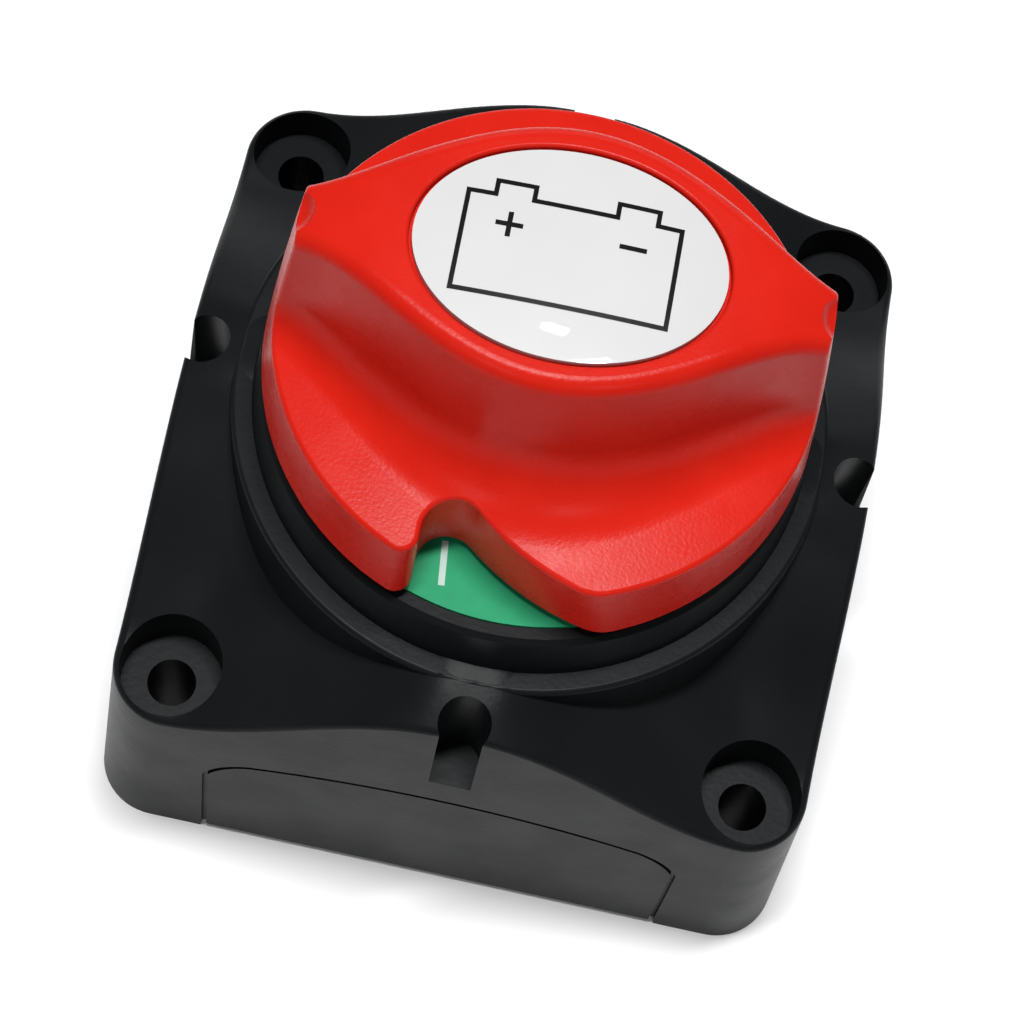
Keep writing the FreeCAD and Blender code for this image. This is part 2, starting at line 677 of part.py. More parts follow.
def make_lock_washers():
    """Split spring washers: a ring with a narrow slanted gap."""
    rings = []
    for name, sign in LEFT_AND_RIGHT:
        x = f"{sign} * stud_offset"
        bottom = "base_bottom - flat_washer_height - lock_washer_height"
        ring = washer(f"lock_ring_{name}", "lock_washer_radius", "stud_radius + stud_hole_gap",
                      bottom, "lock_washer_height", x)
        split = block(f"lock_split_{name}", ("0", "-split_width / 2", "-lock_washer_height"),
                      ("lock_washer_radius + 1", "split_width / 2", "lock_washer_height"))
        gap = turn(gather(f"lock_gap_{name}", [split]), size("split_slant"), X_AXIS)
        place(gap, x, "0", f"{bottom} + lock_washer_height / 2")
        rings.append(cut(f"lock_washer_{name}", ring, [gap]))
    return finish(gather("lock_washer_pair", rings), "stud_lock_washers")


def make_nuts():
    """Hexagon nuts with both rims bevelled."""
    nuts = []
    for name, sign in LEFT_AND_RIGHT:
        body = new_body(f"nut_{name}")
        sketch = sketch_on(body, f"nut_{name}_plan", "XY_Plane")
        reach = "nut_across_flats / sqrt(3)"
        spots = [(f"{reach} * cos({60 * corner} deg)", f"{reach} * sin({60 * corner} deg)")
                 for corner in range(6)]
        draw_outline(sketch, spots)
        draw_circle(sketch, "stud_radius + stud_hole_gap")
        pad(body, sketch, "nut_height")
        bottom = "base_bottom - flat_washer_height - lock_washer_height - nut_height"
        place(body, f"{sign} * stud_offset", "0", bottom)
        bevel = turned(f"nut_bevel_{name}", [
            ("0", "0"), ("nut_across_flats / 2 - nut_bevel_inset", "0"),
            (reach, "nut_bevel"), (reach, "nut_height - nut_bevel"),
            ("nut_across_flats / 2 - nut_bevel_inset", "nut_height"), ("0", "nut_height")])
        place(bevel, f"{sign} * stud_offset", "0", bottom)
        nuts.append(common(f"nut_cut_{name}", body, bevel))
    return finish(gather("nut_pair", nuts), "stud_nuts")


# ---------------------------------------------------------------- rotor

def make_spindle():
    """Stepped spindle: pivot, carrier drive, sealed journal and square knob drive."""
    turned_part = turned("spindle_turned", [
        ("0", "spindle_pivot_bottom"), ("spindle_pivot", "spindle_pivot_bottom"),
        ("spindle_pivot", "carrier_bottom"), ("spindle_radius", "carrier_bottom"),
        ("spindle_radius", "groove_bottom"), ("groove_floor", "groove_bottom"),
        ("groove_floor", "groove_bottom + groove_height"),
        ("spindle_radius", "groove_bottom + groove_height"),
        ("spindle_radius", "spindle_shoulder"), ("0", "spindle_shoulder")])
    half = "spindle_square / 2"
    square = block("spindle_drive", (f"-{half}", f"-{half}", "spindle_shoulder - 1"),
                   (half, half, "spindle_top"))
    both = fuse("spindle_solid", [turned_part, square])
    tapped = cylinder("spindle_tapping", "screw_radius + close_play", "screw_bottom - 1",
                      "spindle_top + 1")
    flats = []
    for name, sign in LEFT_AND_RIGHT:
        air = block(f"spindle_air_{name}", ("spindle_flat", "-spindle_radius - 1", "carrier_bottom - 1"),
                    ("spindle_radius + 1", "spindle_radius + 1", "carrier_top"))
        flats.append(turn(gather(f"spindle_flat_{name}", [air]), 90 - 90 * sign))
    return finish(cut("spindle_cut", both, [tapped] + flats), "spindle")


def make_spindle_seal():
    seal = doc.addObject("Part::Torus", "seal_ring")
    bind(seal, "Radius1", "groove_floor + seal_wire")
    bind(seal, "Radius2", "seal_wire")
    place(seal, "0", "0", "groove_bottom + groove_height / 2")
    return finish(seal, "spindle_seal")


def make_thrust_washer():
    """Thin washer between the carrier and the chamber's ceiling."""
    ring = washer("thrust_ring", "thrust_radius", "spindle_radius + running_play", "carrier_top",
                  "chamber_height - carrier_top - washer_play")
    return finish(ring, "thrust_washer")


def make_contact_carrier():
    """Rotor block that holds the moving contact and its spring and turns with the spindle."""
    disc = cylinder("carrier_disc", "carrier_radius", "carrier_bottom", "carrier_top")
    rounded = round_edges("carrier_rounded", disc,
                          ("base_edge", lambda edge: is_level(edge, size("carrier_top"))))
    half = "bridge_width / 2 + bridge_play"
    channel = block("carrier_channel",
                    ("-bridge_length / 2 - bridge_end_play", f"-({half})", "carrier_bottom - 1"),
                    ("bridge_length / 2 + bridge_end_play", half, "carrier_pocket"))
    well = cylinder("carrier_spring_well",
                    "spring_radius + spring_wire + spring_play", "carrier_bottom - 1",
                    "spring_pocket_top")
    bore = cylinder("carrier_bore", "spindle_radius + close_play",
                    "carrier_bottom - 1", "carrier_top + 1")
    flats = []
    for name, sign in LEFT_AND_RIGHT:
        flat = block(f"carrier_key_{name}",
                     ("spindle_flat + running_play", "-carrier_flat_half", "spring_pocket_top"),
                     ("spindle_radius - 2 * running_play", "carrier_flat_half", "carrier_top"))
        flats.append(turn(gather(f"carrier_flat_{name}", [flat]), 90 - 90 * sign))
    hollowed = cut("carrier_hollowed", rounded, [channel, well, bore])
    lightening = [block(f"carrier_window_{name}", ("-window_half", low, "carrier_bottom - 1"),
                        ("window_half", high, "carrier_top - 2"))
                  for name, low, high in (("front", "-window_outer", "-window_inner"),
                                          ("back", "window_inner", "window_outer"))]
    return finish(fuse("carrier_solid", [cut("carrier_open", hollowed, lightening)] + flats),
                  "contact_carrier")


def make_moving_contact():
    """Copper bridge bar with a centre hole for the spindle and rounded ends."""
    bottom = "stud_head_top + 2 * tip_height"
    half_x, half_y = "bridge_length / 2", "bridge_width / 2"
    bar = block("bridge_bar", (f"-{half_x}", f"-{half_y}", bottom),
                (half_x, half_y, f"{bottom} + bridge_height"))
    rounded = round_edges("bridge_rounded", bar, ("bridge_corner", is_upright))
    hole = cylinder("bridge_hole", "spindle_pivot + 2 * hole_play", bottom, f"{bottom} + bridge_height")
    hub = cylinder("bridge_hub_hole", "spindle_radius + hole_play", "carrier_bottom - 0.1",
                   f"{bottom} + bridge_height")
    return finish(cut("bridge_cut", rounded, [hole, hub]), "moving_contact")


def make_contact_spring():
    """Compression spring between the bridge bar and the carrier, with ground end rings."""
    low = "stud_head_top + 2 * tip_height + bridge_height + spring_wire"
    high = "spring_pocket_top - spring_wire"
    helix = doc.addObject("Part::Helix", "spring_path")
    bind(helix, "Radius", "spring_radius")
    bind(helix, "Height", f"({high}) - ({low})")
    bind(helix, "Pitch", f"(({high}) - ({low})) / 2.5")
    place(helix, "0", "0", low)
    ring = doc.addObject("Part::Circle", "spring_section")
    bind(ring, "Radius", "spring_wire")
    ring.Placement.Rotation = FreeCAD.Rotation(X_AXIS, 90)
    bind(ring, "Placement.Base.x", "spring_radius")
    bind(ring, "Placement.Base.z", low)
    doc.recompute()
    coil = doc.addObject("Part::Sweep", "spring_coil")
    coil.Sections = [ring]
    coil.Spine = (helix, [f"Edge{index}" for index in range(1, len(helix.Shape.Edges) + 1)])
    coil.Solid = True
    coil.Frenet = True
    doc.recompute()
    return finish(coil, "contact_spring")


# ---------------------------------------------------------------- indicator label

def make_indicator_labels():
    """Printed label on the tower's top, one half for each position."""
    for label, start in (("indicator_on", "label_on_middle - 90"),
                         ("indicator_off", "label_on_middle + 90")):
        sector = doc.addObject("Part::Cylinder", f"{label}_disc")
        bind(sector, "Radius", "label_outer")
        bind(sector, "Height", "label_height")
        sector.Angle = 180
        spin = FreeCAD.Rotation(UP, size(start))
        sector.Placement = FreeCAD.Placement(Vector(0, 0, size("tower_height")), spin)
        middle = cylinder(f"{label}_eye", "label_inner", "tower_height - 1",
                          "tower_height + label_height + 1")
        finish(cut(f"{label}_cut", sector, [middle]), label)


# ---------------------------------------------------------------- knob

def knob_blank():
    """Round blank of the knob; its side tapers and bulges a little."""
    foot = Vector(size("knob_radius"), 0, size("knob_bottom"))
    top = Vector(size("knob_top_radius"), 0, size("knob_blank_top"))
    middle = (foot + top) / 2 + Vector(size("knob_bulge"), 0, 0)
    foot_axis, top_axis = Vector(0, 0, foot.z), Vector(0, 0, top.z)
    edges = [
        Part.LineSegment(foot_axis, foot),
        Part.Arc(foot, middle, top),
        Part.LineSegment(top, top_axis),
        Part.LineSegment(top_axis, foot_axis),
    ]
    made = doc.addObject("Part::Feature", "knob_blank")
    made.Shape = Part.Face(Part.Wire([edge.toShape() for edge in edges])).revolve(Vector(), UP, 360)
    return made


def land_profile():
    """Region below the top of the knob: level in the middle, falling in arcs at both ends."""
    land, flat = size("knob_land"), size("land_flat")
    fall, reach = size("land_fall"), size("land_reach")
    angle = math.asin((reach - flat) / fall)

    def on_fall(part, sign):
        swing = angle * part
        return Vector(sign * (flat + fall * math.sin(swing)), 0, land - fall * (1 - math.cos(swing)))
    right, left = on_fall(1, 1), on_fall(1, -1)
    floor_right = Vector(right.x, 0, size("knob_bottom - 5"))
    floor_left = Vector(left.x, 0, floor_right.z)
    edges = [
        Part.LineSegment(on_fall(0, -1), on_fall(0, 1)),
        Part.Arc(on_fall(0, 1), on_fall(0.5, 1), right),
        Part.LineSegment(right, floor_right),
        Part.LineSegment(floor_right, floor_left),
        Part.LineSegment(floor_left, left),
        Part.Arc(left, on_fall(0.5, -1), on_fall(0, -1)),
    ]
    face = Part.Face(Part.Wire([edge.toShape() for edge in edges]))
    half = size("knob_radius") + 2
    face.translate(Vector(0, -half, 0))
    made = doc.addObject("Part::Feature", "land_profile")
    made.Shape = face.extrude(Vector(0, 2 * half, 0))
    return made


def scoop_section(x, rim):
    """Section of a scoop at x: grip side, cove, floor from the rim, and a box of air above."""
    part = min(abs(x) / size("grip_half_length"), 1.0)
    swell = (1 - part ** 2) ** size("grip_swell")
    lean_swell = 1 - part ** 2
    width = size("grip_end") + size("grip_middle - grip_end") * swell
    lean = size("scoop_lean_end") + size("scoop_lean_middle - scoop_lean_end") * lean_swell
    cove = size("scoop_cove_end") + size("scoop_cove_middle - scoop_cove_end") * lean_swell
    land, slope = size("knob_land"), size("scoop_slope")
    rim_y = math.sqrt(max(size("rim_radius") ** 2 - x ** 2, 0.0))
    floor_rise = slope * math.sqrt(max(1 - (x / (size("rim_radius") + 2)) ** 2, 0.01))
    air_top, air_front = size("knob_blank_top") + 4, size("knob_radius") + 6

    def side_y(z):
        return width + lean * (land - z)

    def floor_z(y):
        return rim + floor_rise * (rim_y - y)
    corner_y = (width + lean * (land - rim - floor_rise * rim_y)) / (1 - lean * floor_rise)
    corner = Vector(x, -corner_y, floor_z(corner_y))
    up_side = (Vector(x, -side_y(air_top), air_top) - corner).normalize()
    along_floor = (Vector(x, -air_front, floor_z(air_front)) - corner).normalize()
    opening = up_side.getAngle(along_floor)
    setback = cove / math.tan(opening / 2)
    start, end = corner + up_side * setback, corner + along_floor * setback
    bisector = (up_side + along_floor).normalize()
    middle = corner + bisector * (cove / math.sin(opening / 2) - cove)
    top_in = Vector(x, -side_y(air_top), air_top)
    floor_out = Vector(x, -air_front, floor_z(air_front))
    top_out = Vector(x, -air_front, air_top)
    return Part.Wire([
        Part.LineSegment(top_in, start).toShape(),
        Part.Arc(start, middle, end).toShape(),
        Part.LineSegment(end, floor_out).toShape(),
        Part.LineSegment(floor_out, top_out).toShape(),
        Part.LineSegment(top_out, top_in).toShape(),
    ])


def scoop(name, rim, half_turn):
    """Air beside the grip bar, lofted through sections along the grip."""
    reach, spans = size("knob_radius") + 2, 12
    stations = [reach * (2 * step / spans - 1) for step in range(spans + 1)]
    made = doc.addObject("Part::Feature", name)
    made.Shape = Part.makeLoft([scoop_section(x, size(rim)) for x in stations], True, False)
    return turn(made, half_turn)


def viewing_notch():
    """Wave-shaped cut through the skirt that shows the indicator label."""
    crown = Vector(size("notch_crown_x"), size("notch_crown_y"), 0)
    sweep = Vector(size("notch_sweep_x"), size("notch_sweep_y"), 0)
    small, between = size("notch_crown_radius"), sweep - crown
    large = between.Length - small
    touch = crown + between * (small / between.Length)
    left, outside = size("notch_left"), -size("knob_radius") - 5
    flank_foot = sweep - Vector(0, large, 0)
    touch_angle = math.atan2(touch.y - crown.y, touch.x - crown.x)
    crown_middle = (math.pi + touch_angle) / 2
    flank_start = math.atan2(touch.y - sweep.y, touch.x - sweep.x)
    if flank_start > 0:
        flank_start -= 2 * math.pi
    flank_middle = (flank_start - math.pi / 2) / 2

    def around(centre, radius, angle):
        return centre + Vector(radius * math.cos(angle), radius * math.sin(angle), 0)
    left_top = Vector(crown.x - small, crown.y, 0)
    edges = [
        Part.LineSegment(Vector(left, outside, 0), left_top),
        Part.Arc(left_top, around(crown, small, crown_middle), touch),
        Part.Arc(touch, around(sweep, large, flank_middle), flank_foot),
        Part.LineSegment(flank_foot, Vector(flank_foot.x, outside, 0)),
        Part.LineSegment(Vector(flank_foot.x, outside, 0), Vector(left, outside, 0)),
    ]
    face = Part.Face(Part.Wire([edge.toShape() for edge in edges]))
    face.translate(UP * size("knob_bottom - 2"))
    made = doc.addObject("Part::Feature", "viewing_notch")
    made.Shape = face.extrude(UP * size("knob_blank_top - knob_bottom"))
    return made


def oval(name, grow, bottom, height):
    """Elliptical prism for the label and its recess."""
    long_axis, short_axis = size(f"oval_long + {grow}"), size(f"oval_short + {grow}")
    ring = Part.Ellipse(Vector(0, 0, size(bottom)), long_axis, short_axis)
    made = doc.addObject("Part::Feature", name)
    made.Shape = Part.Face(Part.Wire(ring.toShape())).extrude(UP * size(height))
    return made


def knob_cores():
    """Hollows under the knob: socket, screw well, core round the hub and cores in the grip."""
    half = "spindle_square / 2 + socket_gap"
    socket = block("drive_socket", (f"-({half})", f"-({half})", "knob_bottom - 1"),
                   (half, half, "socket_top"))
    passage = cylinder("screw_passage", "screw_radius + hole_play", "socket_top - 1", "oval_bottom + 1")
    well = cylinder("screw_well", "well_radius", "screw_head_bottom - knob_washer_height",
                    "oval_bottom + 1")
    core = washer("hub_core", "core_radius", "knob_hub", "knob_bottom - 1",
                  "core_top - knob_bottom + 1")
    tools = [socket, passage, well, core]
    for name, start, end in (("left", "-grip_core_end", "-grip_core_start"),
                             ("right", "grip_core_start", "grip_core_end")):
        tools.append(block(f"grip_core_{name}", (start, "-grip_core_width / 2", "knob_bottom - 1"),
                           (end, "grip_core_width / 2", "grip_core_height")))
    return tools


def shape_knob():
    """Knob without its recesses and cores: blank, scoops, notch and all outer roundings."""
    topped = common("knob_topped", knob_blank(), land_profile())
    scoops = [scoop("scoop_front", "scoop_rim", 0), scoop("scoop_back", "scoop_rim_back", 180)]
    scooped = cut("knob_scooped", topped, scoops)
    notched = cut("knob_notched", scooped, [viewing_notch()])
    rim_level, end_level = size("scoop_rim + 2"), size("knob_land - 3")
    notch_reach = size("knob_radius") / 2

    def is_corner(edge, sign):
        box = edge.BoundBox
        return (box.ZLength > 5 and box.ZMax < rim_level and 0 < sign * box.Center.x < notch_reach
                and math.hypot(box.Center.x, box.Center.y) > size("rim_radius"))
    lipped = round_edges("knob_lipped", notched,
                         ("notch_lip", lambda edge: is_corner(edge, -1)),
                         ("notch_flare", lambda edge: is_corner(edge, 1)))
    solid = lipped.Shape

    def is_bottom(edge):
        return is_level(edge, size("knob_bottom"))

    def is_land(edge):
        return (edge.BoundBox.ZMin > end_level and edge.BoundBox.XLength > 5
                and is_sharp(solid, edge))

    def is_thin(edge):
        return edge.BoundBox.ZMax > size("scoop_rim_back - 1") and is_sharp(solid, edge)
    return round_edges("knob_rounded", lipped, ("bottom_edge", is_bottom),
                       ("land_edge", is_land), ("rim_edge", is_thin))


def make_knob():
    dimples = []
    for name, sign in LEFT_AND_RIGHT:
        dimple = doc.addObject("Part::Sphere", f"dimple_{name}")
        bind(dimple, "Radius", "dimple_radius")
        dimples.append(place(dimple, f"{sign} * dimple_x", "0", "dimple_z"))
    recess = oval("label_recess", "oval_gap", "oval_bottom", "5")
    dished = cut("knob_dished", shape_knob(), dimples + [recess])

    long_axis, short_axis = size("oval_long + oval_gap"), size("oval_short + oval_gap")

    def is_recess_rim(edge):
        spot = edge.valueAt((edge.FirstParameter + edge.LastParameter) / 2)
        way = (spot.x / long_axis) ** 2 + (spot.y / short_axis) ** 2
        level = edge.BoundBox.ZMin > size("oval_bottom + 0.2")
        return abs(way - 1) < 0.01 and level and is_sharp(dished.Shape, edge)
    softened = round_edges("knob_softened", dished, ("recess_edge", is_recess_rim))
    return finish(cut("knob_cut", softened, knob_cores()), "knob")


def make_knob_label():
    """Domed oval label: a straight side and a shallow dome from an ellipsoid."""
    spread = 1.6
    rise = 1 - math.sqrt(1 - 1 / spread ** 2)
    prism = oval("label_prism", "0", "oval_bottom", "oval_side + oval_dome + 1")
    dome = doc.addObject("Part::Ellipsoid", "label_dome")
    bind(dome, "Radius1", f"oval_dome / {rise}")
    bind(dome, "Radius2", f"oval_long * {spread}")
    bind(dome, "Radius3", f"oval_short * {spread}")
    dome.Angle1 = -90
    dome.Angle2 = 90
    place(dome, "0", "0", f"oval_bottom + oval_side + oval_dome - oval_dome / {rise}")
    return finish(common("label_domed", prism, dome), "knob_label")


def make_knob_screw():
    """Pan-head screw with a cross recess."""
    top = "screw_head_bottom + screw_head_height"
    screw = turned("knob_screw_turned", [
        ("0", "screw_bottom"), ("screw_radius - screw_point", "screw_bottom"),
        ("screw_radius", "screw_bottom + screw_point"), ("screw_radius", "screw_head_bottom"),
        ("screw_head_radius", "screw_head_bottom"), ("screw_head_radius", f"{top} - screw_head_round"),
        ("screw_head_radius - screw_head_round", top), ("0", top)])
    floor, reach, half = f"{top} - cross_depth", "cross_reach", "cross_width / 2"
    slots = [block("cross_long", (f"-{reach}", f"-{half}", floor), (reach, half, f"{top} + 1")),
             block("cross_short", (f"-{half}", f"-{reach}", floor), (half, reach, f"{top} + 1"))]
    return finish(cut("knob_screw_cut", screw, slots), "knob_screw")


def make_knob_washer():
    ring = washer("knob_washer_ring", "knob_washer_radius", "screw_radius + hole_play",
                  "screw_head_bottom - knob_washer_height", "knob_washer_height")
    return finish(ring, "knob_washer")


# ---------------------------------------------------------------- assembly

def build_all():
    make_housing()
    make_terminal_base()
    make_base_gasket()
    make_base_screws()
    for name, sign in LEFT_AND_RIGHT:
        make_stud(name, sign)
    make_tips("fixed_contact_tips", "stud_head_top")
    make_flat_washers()
    make_lock_washers()
    make_nuts()
    make_indicator_labels()
    moving = [
        make_spindle(), make_spindle_seal(), make_thrust_washer(), make_contact_carrier(),
        make_moving_contact(), make_tips("moving_contact_tips", "stud_head_top + tip_height"),
        make_contact_spring(), make_knob(), make_knob_label(), make_knob_screw(),
        make_knob_washer(),
    ]
    for part in moving:
        turn(part, size("rest_turn"))


def check_and_export():
    """Stop on any failed object or bad shape, then write one STEP file per sub-part."""
    doc.recompute()
    failed = [item.Name for item in doc.Objects if {"Invalid", "Error"} & set(item.State)]
    bad = [item.Label for item in nodes if item.Shape.isNull() or not item.Shape.isValid()]
    if failed or bad:
        raise RuntimeError(f"failed objects {failed}, bad shapes {bad}")
    os.makedirs("parts", exist_ok=True)
    for item in nodes:
        item.Shape.exportStep(f"parts/{item.Label}.step")
        box = item.Shape.BoundBox
        print(f"{item.Label:22s} solids {len(item.Shape.Solids)} volume {item.Shape.Volume:9.1f}"
              f"  z {box.ZMin:6.2f} to {box.ZMax:6.2f}")


build_all()
check_and_export()
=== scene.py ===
"""Looks for the rotary battery switch: materials, printed marks, light and camera."""

import json
import math

import bpy
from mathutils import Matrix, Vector
from mathutils.bvhtree import BVHTree


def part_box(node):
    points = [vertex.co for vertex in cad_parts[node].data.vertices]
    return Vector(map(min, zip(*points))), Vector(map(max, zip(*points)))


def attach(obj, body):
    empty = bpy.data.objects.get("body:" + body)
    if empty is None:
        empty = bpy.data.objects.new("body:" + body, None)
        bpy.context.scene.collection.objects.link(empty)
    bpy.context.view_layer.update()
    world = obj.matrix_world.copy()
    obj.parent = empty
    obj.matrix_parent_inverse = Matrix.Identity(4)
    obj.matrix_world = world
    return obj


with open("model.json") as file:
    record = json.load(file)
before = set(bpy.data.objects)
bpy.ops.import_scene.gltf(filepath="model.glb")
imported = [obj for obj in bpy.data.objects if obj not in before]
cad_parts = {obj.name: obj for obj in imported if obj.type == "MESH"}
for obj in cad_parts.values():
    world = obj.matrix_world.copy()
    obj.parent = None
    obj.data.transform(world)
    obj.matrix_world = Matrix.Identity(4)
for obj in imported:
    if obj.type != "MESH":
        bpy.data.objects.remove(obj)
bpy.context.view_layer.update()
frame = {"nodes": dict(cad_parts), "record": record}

MM = 0.001
HOUSING_BODY = "housing_body"
KNOB_BODY = "knob_body"
KNOB_REST_TURN = 1.2        # turn of the knob and its label at rest, in degrees
PRINT_HEIGHT = 0.03 * MM    # how far printed marks stand above the surface under them
PRINT_STEP = 0.4 * MM       # longest face of a printed line, so that it follows the surface
NOISE_LOW, NOISE_HIGH = 0.3, 0.7    # the range that a noise pattern mostly keeps to

# Lights: name, place, width, height in metres and power in watts; all point at LIGHT_TARGET.
LIGHT_TARGET = (0, 0, 0.04)
LIGHTS = [
    ("top_softbox", (-0.03, 0.05, 1.00), 0.36, 0.07, 10.4),
    ("spark", (0.015, 0.239, 1.00), 0.035, 0.02, 0.35),
    ("left_strip", (-0.24, -0.68, 0.74), 0.16, 0.14, 0.7),
    ("right_strip", (0.34, -0.66, 0.74), 0.16, 0.14, 0.7),
    ("back_panel", (0.00, 0.95, 0.40), 0.90, 0.35, 2.0),
    ("left_fill", (-0.95, -0.10, 0.35), 0.50, 0.35, 0.3),
    ("right_fill", (0.95, -0.10, 0.35), 0.50, 0.35, 0.3),
]
WORLD_STRENGTH = 0.06

# Camera: place in millimetres, turns in degrees, lens and sensor in millimetres.
CAMERA_PLACE = (-3.64, -108.23, 285.10)
CAMERA_TURNS = (21.186, -5.326, 11.239)
CAMERA_LENS = 102.0
CAMERA_SENSOR = 36.0


# ---------------------------------------------------------------- node helpers

class Painter:
    """Builds one procedural material around a Principled shader."""

    def __init__(self, name, color, roughness, metallic=0.0):
        self.material = bpy.data.materials.new(name)
        self.material.use_nodes = True
        self.tree = self.material.node_tree
        self.shader = self.tree.nodes["Principled BSDF"]
        self.set("Base Color", (*color, 1.0))
        self.set("Roughness", roughness)
        self.set("Metallic", metallic)
        self.place = self.tree.nodes.new("ShaderNodeTexCoord").outputs["Object"]

    def set(self, socket, value):
        """Give a shader socket a plain value."""
        self.shader.inputs[socket].default_value = value

    def link(self, source, target):
        """Join an output socket to an input socket."""
        self.tree.links.new(source, target)

    def noise(self, size, detail=2.0, roughness=0.5, stretch=(1, 1, 1)):
        """Noise whose features are about the given size in metres."""
        mapping = self.tree.nodes.new("ShaderNodeMapping")
        mapping.inputs["Scale"].default_value = stretch
        self.link(self.place, mapping.inputs["Vector"])
        node = self.tree.nodes.new("ShaderNodeTexNoise")
        node.inputs["Scale"].default_value = 1.0 / size
        node.inputs["Detail"].default_value = detail
        node.inputs["Roughness"].default_value = roughness
        self.link(mapping.outputs["Vector"], node.inputs["Vector"])
        return node.outputs["Fac"]

    def spread(self, source, low, high):
        """Map a noise pattern to low..high."""
        node = self.tree.nodes.new("ShaderNodeMapRange")
        node.inputs["From Min"].default_value = NOISE_LOW
        node.inputs["From Max"].default_value = NOISE_HIGH
        node.inputs["To Min"].default_value = low
        node.inputs["To Max"].default_value = high
        self.link(source, node.inputs["Value"])
        return node.outputs["Result"]

    def blend(self, factor, first, second):
        """Colour that goes from first to second with the factor."""
        node = self.tree.nodes.new("ShaderNodeMix")
        node.data_type = "RGBA"
        self.link(factor, node.inputs["Factor"])
        node.inputs["A"].default_value = (*first, 1.0)
        node.inputs["B"].default_value = (*second, 1.0)
        return node.outputs["Result"]

    def bumps(self, *layers):
        """Bump layers, each (pattern, depth in metres), added from first to last."""
        normal = None
        for pattern, depth in layers:
            node = self.tree.nodes.new("ShaderNodeBump")
            node.inputs["Distance"].default_value = depth
            self.link(pattern, node.inputs["Height"])
            if normal is not None:
                self.link(normal, node.inputs["Normal"])
            normal = node.outputs["Normal"]
        self.link(normal, self.shader.inputs["Normal"])

    def color(self, source):
        """Drive the shader's colour from a pattern."""
        self.link(source, self.shader.inputs["Base Color"])

    def roughness(self, source):
        """Drive the shader's roughness from a pattern."""
        self.link(source, self.shader.inputs["Roughness"])


# ---------------------------------------------------------------- materials

def darker(color, factor):
    """The colour made darker by a factor."""
    return tuple(factor * part for part in color)


def housing_plastic():
    """Black moulded plastic: satin spark-eroded skin with faint flow shading."""
    p = Painter("housing_plastic", (0.0072, 0.0080, 0.0088), 0.36)
    flow = p.noise(14 * MM, detail=3.0)
    p.color(p.blend(p.spread(flow, 0, 1), (0.0062, 0.0070, 0.0078), (0.0084, 0.0094, 0.0102)))
    p.roughness(p.spread(p.noise(6 * MM, detail=4.0), 0.33, 0.40))
    p.set("Specular IOR Level", 0.06)
    p.bumps((p.noise(0.45 * MM), 0.012 * MM), (p.noise(1.6 * MM), 0.012 * MM))
    return p.material


def plain_plastic(name, color, roughness):
    """Unpainted moulded plastic for hidden parts, with a little mottling."""
    p = Painter(name, color, roughness)
    p.color(p.blend(p.spread(p.noise(5 * MM, detail=3.0), 0, 1), darker(color, 0.8), color))
    p.bumps((p.noise(0.3 * MM), 0.01 * MM))
    return p.material


def knob_plastic():
    """Red satin plastic with the fine grain of a spark-eroded mould."""
    p = Painter("knob_plastic", (0.56, 0.014, 0.007), 0.28)
    tone = p.noise(9 * MM, detail=3.0)
    p.color(p.blend(p.spread(tone, 0, 1), (0.53, 0.012, 0.006), (0.59, 0.016, 0.008)))
    p.roughness(p.spread(p.noise(3 * MM, detail=3.0), 0.24, 0.32))
    p.set("Specular IOR Level", 0.08)
    p.bumps((p.noise(0.32 * MM), 0.016 * MM))
    return p.material


def printed(name, color, roughness):
    """Printed film with a slight orange-peel surface."""
    p = Painter(name, color, roughness)
    p.set("Specular IOR Level", 0.12)
    p.color(p.blend(p.spread(p.noise(1.5 * MM, detail=4.0), 0, 1), darker(color, 0.9), color))
    p.bumps((p.noise(0.8 * MM), 0.004 * MM))
    return p.material


def domed_label():
    """White print under clear resin."""
    p = Painter("label_white", (0.56, 0.56, 0.56), 0.45)
    p.color(p.blend(p.spread(p.noise(8 * MM), 0, 1), (0.55, 0.55, 0.55), (0.57, 0.57, 0.57)))
    p.set("Specular IOR Level", 0.2)
    p.set("Coat Weight", 0.3)
    p.set("Coat Roughness", 0.03)
    return p.material


def metal(name, color, roughness, brush=(1, 1, 1)):
    """Metal with fine scratches; brush stretches them."""
    p = Painter(name, color, roughness, metallic=1.0)
    lines = p.noise(0.5 * MM, detail=6.0, roughness=0.7, stretch=brush)
    p.roughness(p.spread(lines, roughness - 0.08, roughness + 0.12))
    p.color(p.blend(p.spread(p.noise(2 * MM, detail=4.0), 0, 1), darker(color, 0.85), color))
    p.bumps((lines, 0.004 * MM))
    return p.material


def rubber():
    """Dull black rubber."""
    p = Painter("black_rubber", (0.012, 0.012, 0.012), 0.7)
    p.color(p.blend(p.noise(1.2 * MM, detail=4.0), (0.009, 0.009, 0.009), (0.018, 0.018, 0.018)))
    p.bumps((p.noise(0.15 * MM), 0.01 * MM))
    return p.material


